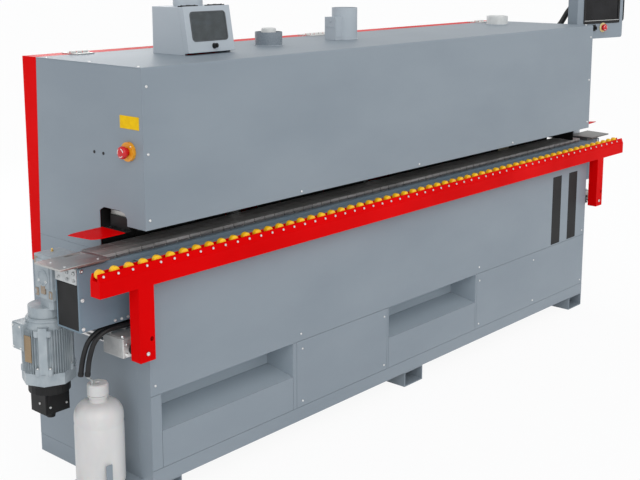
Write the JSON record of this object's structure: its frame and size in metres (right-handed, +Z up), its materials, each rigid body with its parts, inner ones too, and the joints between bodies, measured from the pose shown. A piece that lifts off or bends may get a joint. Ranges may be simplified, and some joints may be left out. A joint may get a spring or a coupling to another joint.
{
  "type": "edge banding machine",
  "caption": "Panel edge banding machine: long cabinet and hood with a feed chain, a pull-out roller support, dust ports and a swivelling touch panel.",
  "frame": {"origin": "on the floor under the middle of the machine's bounding box, without the two hoses", "axes": "+X the way the panels travel, from the drive end to the control panel; -Y the operator's side; +Z up"},
  "size_m": [3.4428, 0.667, 1.6583],
  "materials": {
    "grey_paint": "satin",
    "red_paint": "satin",
    "red_plastic": "gloss",
    "orange_plastic": "satin",
    "steel": "ground",
    "cast_aluminium": "cast",
    "motor_paint": "painted",
    "black_plastic": "matt",
    "hose_rubber": "matt",
    "pad_rubber": "matt",
    "yellow_plastic": "gloss",
    "white_plastic": "matt",
    "dark_glass": "polished",
    "cotton": "stitched"
  },
  "bodies": {
    "frame": {"foot_left": "grey_paint", "foot_middle": "grey_paint", "foot_right": "grey_paint", "cabinet_frame": "grey_paint", "machine_bed": "steel", "front_cover": "grey_paint", "conveyor_beam": "grey_paint", "beam_cover": "black_plastic", "end_plate_left": "steel", "end_plate_right": "steel", "gearbox": "motor_paint", "drive_motor": "motor_paint", "motor_cowl": "black_plastic", "bearing_block_left": "cast_aluminium", "bearing_block_right": "cast_aluminium", "hood_shell": "grey_paint", "hood_end_left": "grey_paint", "hood_end_right": "grey_paint", "view_box": "grey_paint", "short_port": "grey_paint", "short_port_plug": "white_plastic", "tall_port": "grey_paint", "right_port": "white_plastic", "control_post": "grey_paint", "panel_conduit": "black_plastic", "bottle_shelf": "grey_paint", "bottle": "white_plastic", "hose_front": "hose_rubber", "hose_rear": "hose_rubber", "stop_ring": "orange_plastic", "glue_pot": "cast_aluminium", "trim_motor": "motor_paint", "buffing_motor": "motor_paint"},
    "feed_chain": {"feed_chain": "pad_rubber"},
    "drive_sprocket": {"drive_sprocket": "steel"},
    "idler_sprocket": {"idler_sprocket": "steel"},
    "support": {"roller_support": "red_paint", "guide_bar_left": "steel", "guide_bar_right": "steel", "roller_row": "yellow_plastic"},
    "roller_1": {"roller_1": "yellow_plastic"},
    "roller_2": {"roller_2": "yellow_plastic"},
    "roller_3": {"roller_3": "yellow_plastic"},
    "rear_door_left": {"rear_door_left": "red_paint"},
    "rear_door_right": {"rear_door_right": "red_paint"},
    "view_door": {"view_box_door": "grey_paint", "view_box_window": "dark_glass"},
    "view_knob": {"view_box_knob": "black_plastic"},
    "control_panel": {"control_panel": "grey_paint", "touch_screen": "dark_glass", "panel_handle": "black_plastic"},
    "panel_stop": {"panel_stop_button": "red_plastic"},
    "panel_knob": {"panel_knob": "black_plastic"},
    "stop_button": {"stop_button": "red_plastic"},
    "pressure_beam": {"pressure_beam": "cast_aluminium", "infeed_guard": "red_paint", "outfeed_guard": "red_paint"},
    "glue_roller": {"glue_roller": "steel"},
    "trim_cutter": {"trim_cutter": "steel"},
    "buffing_wheel": {"buffing_wheel": "cotton"}
  },
  "joints": [
    {"name": "chain_feed", "type": "slide", "parent": "frame", "child": "feed_chain", "axis": [1, 0, 0], "range_m": [0, 0.05]},
    {"name": "drive_sprocket_turn", "type": "hinge", "parent": "frame", "child": "drive_sprocket", "pos_m": [-1.59142, -0.156, 0.7553], "axis": [0, 1, 0], "range_deg": [0, 60]},
    {"name": "idler_sprocket_turn", "type": "hinge", "parent": "frame", "child": "idler_sprocket", "pos_m": [1.50158, -0.156, 0.7553], "axis": [0, 1, 0], "range_deg": [0, 60]},
    {"name": "support_pull", "type": "slide", "parent": "frame", "child": "support", "axis": [0, -1, 0], "range_m": [0, 0.3]},
    {"name": "roller_1_spin", "type": "hinge", "parent": "support", "child": "roller_1", "pos_m": [-1.64042, -0.311, 0.815], "axis": [0, 1, 0], "continuous": true},
    {"name": "roller_2_spin", "type": "hinge", "parent": "support", "child": "roller_2", "pos_m": [-1.58642, -0.311, 0.815], "axis": [0, 1, 0], "continuous": true},
    {"name": "roller_3_spin", "type": "hinge", "parent": "support", "child": "roller_3", "pos_m": [-1.53242, -0.311, 0.815], "axis": [0, 1, 0], "continuous": true},
    {"name": "rear_door_left_lift", "type": "hinge", "parent": "frame", "child": "rear_door_left", "pos_m": [-0.74817, 0.2555, 1.4055], "axis": [1, 0, 0], "range_deg": [0, 85]},
    {"name": "rear_door_right_lift", "type": "hinge", "parent": "frame", "child": "rear_door_right", "pos_m": [0.63933, 0.2555, 1.4055], "axis": [1, 0, 0], "range_deg": [0, 85]},
    {"name": "view_door_lift", "type": "hinge", "parent": "frame", "child": "view_door", "pos_m": [-1.08142, -0.0415, 1.5583], "axis": [-1, 0, 0], "range_deg": [0, 80]},
    {"name": "view_knob_turn", "type": "hinge", "parent": "view_door", "child": "view_knob", "pos_m": [-0.96392, -0.08846, 1.42702], "axis": [0, -0.9847, 0.1745], "range_deg": [0, 90]},
    {"name": "panel_swivel", "type": "hinge", "parent": "frame", "child": "control_panel", "pos_m": [1.54358, -0.1285, 1.48], "axis": [0, 0, 1], "range_deg": [0, 40]},
    {"name": "panel_stop_press", "type": "slide", "parent": "control_panel", "child": "panel_stop", "axis": [0.2079, 0.9781, 0], "range_m": [0, 0.004], "stiffness_N_per_m": 800},
    {"name": "panel_knob_turn", "type": "hinge", "parent": "control_panel", "child": "panel_knob", "pos_m": [1.45698, -0.21846, 1.378], "axis": [0.2079, 0.9781, 0], "range_deg": [-45, 45]},
    {"name": "stop_press", "type": "slide", "parent": "frame", "child": "stop_button", "axis": [1, 0, 0], "range_m": [0, 0.005], "stiffness_N_per_m": 800},
    {"name": "pressure_lift", "type": "slide", "parent": "frame", "child": "pressure_beam", "axis": [0, 0, 1], "range_m": [0, 0.03]},
    {"name": "glue_roller_spin", "type": "hinge", "parent": "frame", "child": "glue_roller", "pos_m": [-0.82142, -0.0205, 0.7203], "axis": [0, 0, 1], "continuous": true},
    {"name": "trim_cutter_spin", "type": "hinge", "parent": "frame", "child": "trim_cutter", "pos_m": [-0.03642, -0.0035, 0.85], "axis": [0, 1, 0], "continuous": true},
    {"name": "buffing_wheel_spin", "type": "hinge", "parent": "frame", "child": "buffing_wheel", "pos_m": [0.96358, -0.0035, 0.85], "axis": [0, 1, 0], "continuous": true}
  ],
  "couplings": [
    {"joint": "drive_sprocket_turn", "follows": "chain_feed", "rad_per_m": 20.833},
    {"joint": "idler_sprocket_turn", "follows": "chain_feed", "rad_per_m": 20.833}
  ]
}
